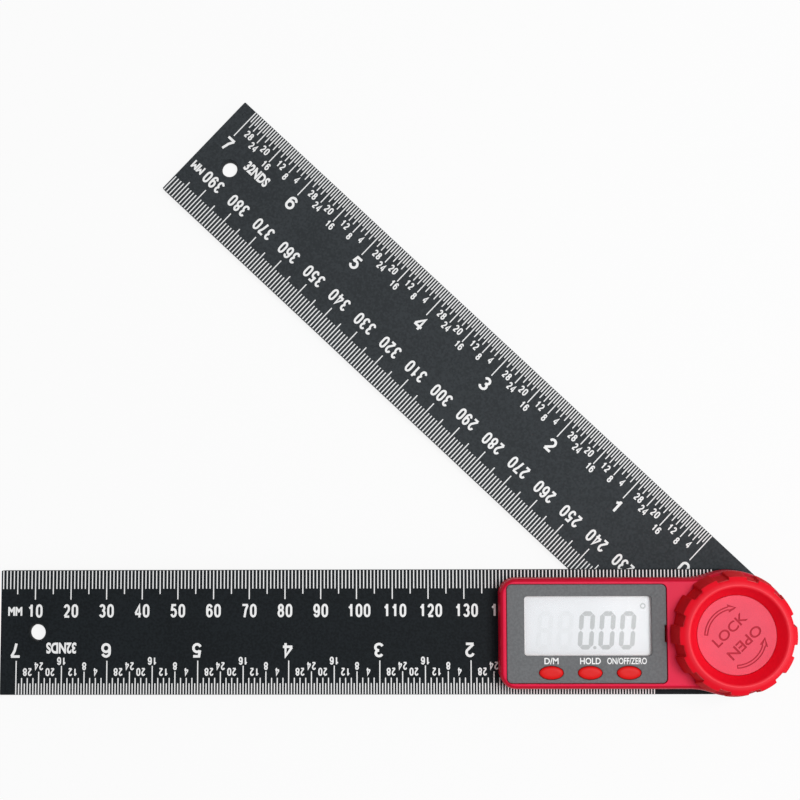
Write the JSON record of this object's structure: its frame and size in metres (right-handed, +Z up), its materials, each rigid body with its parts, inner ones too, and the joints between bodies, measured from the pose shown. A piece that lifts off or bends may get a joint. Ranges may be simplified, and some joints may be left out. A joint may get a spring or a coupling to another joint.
{
  "type": "digital angle finder",
  "caption": "Digital angle finder: two hinged ruler arms with printed scales, a display housing with push buttons, and a round lock knob on the hinge.",
  "frame": {"origin": "where the hinge axis meets the plane that the tool lies on, at the middle of the pivot bolt's flat head", "axes": "+Z up along the hinge axis, out of the display; the base arm runs from the hinge towards -X; +Y points to the base arm's millimetre edge, the side on which the swing arm is opened"},
  "size_m": [0.2198, 0.1687, 0.0238],
  "materials": {
    "arm_black": "satin moulded plastic with printed scales",
    "swing_black": "satin moulded plastic with printed scales",
    "housing_red": "semi-gloss moulded plastic",
    "knob_red": "glossy moulded plastic",
    "cap_red": "finely textured moulded plastic",
    "panel_grey": "satin printed panel",
    "button_red": "satin silicone rubber",
    "clear_window": "clear flat window",
    "lcd_pale": "pale liquid crystal display",
    "white_plastic": "white low-friction plastic, and the white ink of the scales",
    "board_green": "solder resist",
    "copper_track": "gilded copper track",
    "ribbon_amber": "amber film",
    "dark_rubber": "dark moulded rubber or resin",
    "steel": "plated steel",
    "brass": "turned brass"
  },
  "bodies": {
    "base": {"base_arm": "arm_black", "pivot_bolt": "steel", "friction_ring": "white_plastic", "encoder_stator": "board_green", "sensor_ribbon": "ribbon_amber", "housing_shell": "housing_red", "display_panel": "panel_grey", "window_lens": "clear_window", "lcd_glass": "lcd_pale", "contact_strip": "dark_rubber", "circuit_board": "board_green", "chip_cover": "dark_rubber", "switch_1": "steel", "switch_2": "steel", "switch_3": "steel", "coin_cell": "steel", "contact_spring": "steel", "contact_side": "steel", "housing_screw_1": "steel", "housing_screw_2": "steel", "housing_screw_3": "steel", "housing_screw_4": "steel", "board_screw_1": "steel", "board_screw_2": "steel", "board_screw_3": "steel"},
    "swing": {"swing_arm": "swing_black", "pivot_bush": "brass", "encoder_rotor": "copper_track"},
    "knob_washer": {"thrust_washer": "steel"},
    "knob": {"lock_knob": "knob_red", "knob_nut": "brass", "knob_cap": "cap_red"},
    "button_left": {"button_1": "button_red"},
    "button_middle": {"button_2": "button_red"},
    "button_right": {"button_3": "button_red"},
    "cover": {"battery_cover": "arm_black"}
  },
  "joints": [
    {"name": "arm_swing", "type": "hinge", "parent": "base", "child": "swing", "pos_m": [0, 0, 0.005], "axis": [0, 0, 1], "continuous": true},
    {"name": "knob_rise", "type": "slide", "parent": "base", "child": "knob_washer", "axis": [0, 0, 1], "range_m": [0, 0.0004]},
    {"name": "knob_turn", "type": "hinge", "parent": "knob_washer", "child": "knob", "pos_m": [0, 0, 0.018], "axis": [0, 0, 1], "range_deg": [0, 180]},
    {"name": "press_left", "type": "slide", "parent": "base", "child": "button_left", "axis": [0, 0, -1], "range_m": [0, 0.0006], "stiffness_N_per_m": 400, "springref_m": -0.0005},
    {"name": "press_middle", "type": "slide", "parent": "base", "child": "button_middle", "axis": [0, 0, -1], "range_m": [0, 0.0006], "stiffness_N_per_m": 400, "springref_m": -0.0005},
    {"name": "press_right", "type": "slide", "parent": "base", "child": "button_right", "axis": [0, 0, -1], "range_m": [0, 0.0006], "stiffness_N_per_m": 400, "springref_m": -0.0005},
    {"name": "cover_turn", "type": "hinge", "parent": "base", "child": "cover", "pos_m": [-0.044, 0, 0.004], "axis": [0, 0, -1], "range_deg": [0, 45]}
  ],
  "couplings": [
    {"joint": "knob_rise", "follows": "knob_turn", "m_per_rad": 0.000127}
  ]
}
